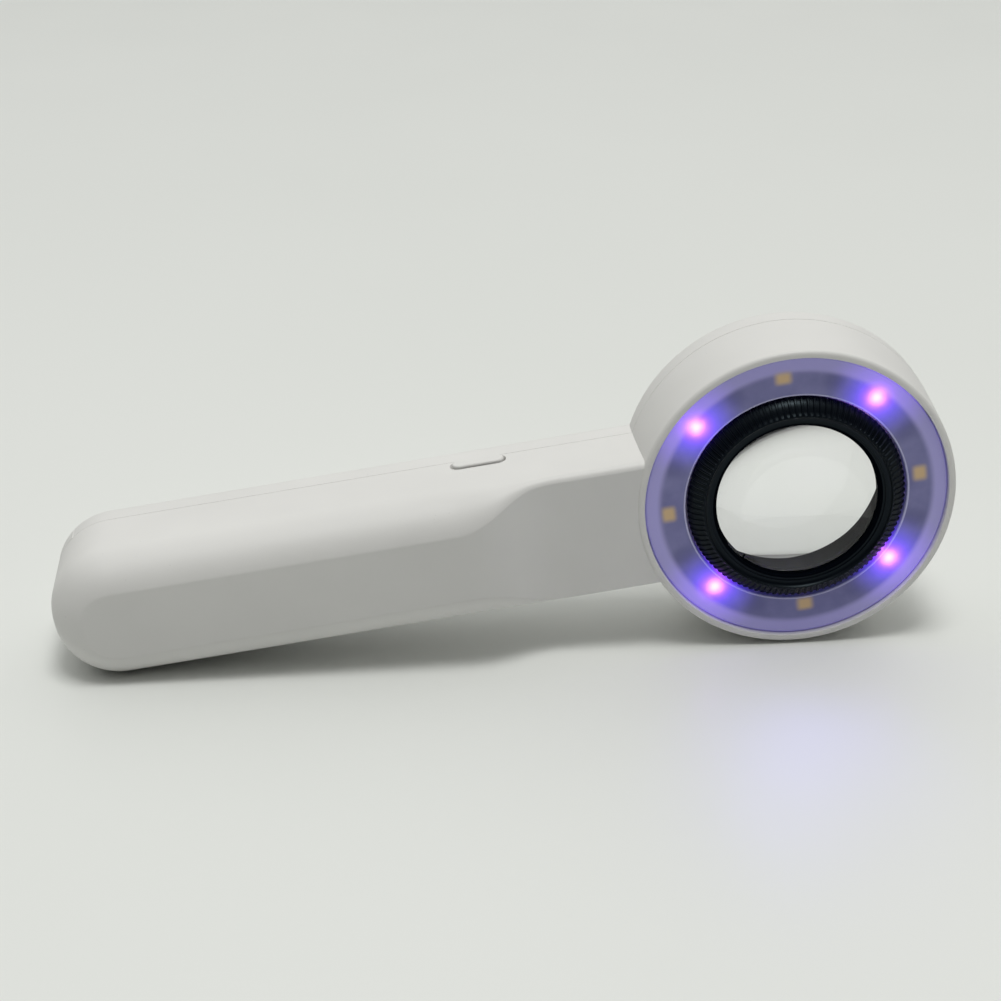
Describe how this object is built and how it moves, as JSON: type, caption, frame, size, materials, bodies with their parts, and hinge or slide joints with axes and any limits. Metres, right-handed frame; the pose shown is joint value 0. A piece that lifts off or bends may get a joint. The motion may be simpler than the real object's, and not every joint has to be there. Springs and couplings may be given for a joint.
{
  "type": "illuminated hand magnifier",
  "caption": "Hand-held magnifier with a deep round head, an LED light ring behind a frosted diffuser, a turning knurled lens cell and a battery grip.",
  "frame": {"origin": "On the lens axis, in the plane of the flat back face, at the mouth of the eyepiece socket.", "axes": "+Y along the lens axis, out of the back; the light ring faces -Y. +X along the handle from the grip towards the head. +Z across the handle, towards the narrow side that holds the button, which is up as the magnifier stands on its other narrow side."},
  "size_m": [0.2022, 0.031, 0.0724],
  "materials": {
    "shell_white": "satin",
    "frosted": "frosted translucent",
    "board_white": "solder mask",
    "uv_led": "clear resin",
    "white_led": "phosphor resin",
    "black_metal": "black anodised",
    "black_plastic": "moulded",
    "black_rubber": "matt",
    "lens_glass": "polished",
    "steel": "zinc plated",
    "brass": "plated",
    "pcb_green": "solder mask",
    "cell_wrap": "printed wrap",
    "lead_red": "insulation",
    "lead_black": "insulation",
    "lead_white": "insulation"
  },
  "bodies": {
    "casing": {"front_shell": "shell_white", "back_shell": "shell_white", "shell_screws": "steel", "diffuser_ring": "frosted", "led_board": "board_white", "uv_leds": "uv_led", "white_leds": "white_led", "led_resistors": "black_plastic", "lens_sleeve": "black_plastic", "sleeve_screws": "steel", "tact_switch": "steel", "control_board": "pcb_green", "driver_chip": "black_plastic", "board_capacitors": "black_metal", "board_screws": "steel", "battery_holder": "black_plastic", "battery_1": "cell_wrap", "battery_2": "cell_wrap", "battery_3": "cell_wrap", "cell_springs": "steel", "cell_contacts": "brass", "front_contact": "brass", "rear_contact": "steel", "red_lead": "lead_red", "black_lead": "lead_black", "led_leads": "lead_white"},
    "lens_unit": {"lens_cell": "black_metal", "knurled_ring": "black_metal", "lens_retainer": "black_metal", "snap_ring": "black_metal", "front_lens": "lens_glass", "spacer_ring": "black_metal", "rear_lens": "lens_glass"},
    "o_ring": {"o_ring": "black_rubber"},
    "power_button": {"power_button": "shell_white", "switch_plunger": "black_plastic"},
    "battery_cover": {"battery_cover": "shell_white"}
  },
  "joints": [
    {"name": "cell_travel", "type": "slide", "parent": "casing", "child": "o_ring", "axis": [0, -1, 0], "range_m": [0, 0.006]},
    {"name": "cell_turn", "type": "hinge", "parent": "o_ring", "child": "lens_unit", "pos_m": [0, 0, 0], "axis": [0, -1, 0], "range_deg": [0, 1440]},
    {"name": "button_press", "type": "slide", "parent": "casing", "child": "power_button", "axis": [0, 0, -1], "range_m": [0, 0.0006], "stiffness_N_per_m": 800, "springref_m": -0.0004},
    {"name": "cover_swing", "type": "hinge", "parent": "casing", "child": "battery_cover", "pos_m": [-0.101, 0, 0], "axis": [0, 0, -1], "range_deg": [0, 70]}
  ],
  "couplings": [
    {"joint": "cell_travel", "follows": "cell_turn", "m_per_rad": 0.0002387}
  ]
}
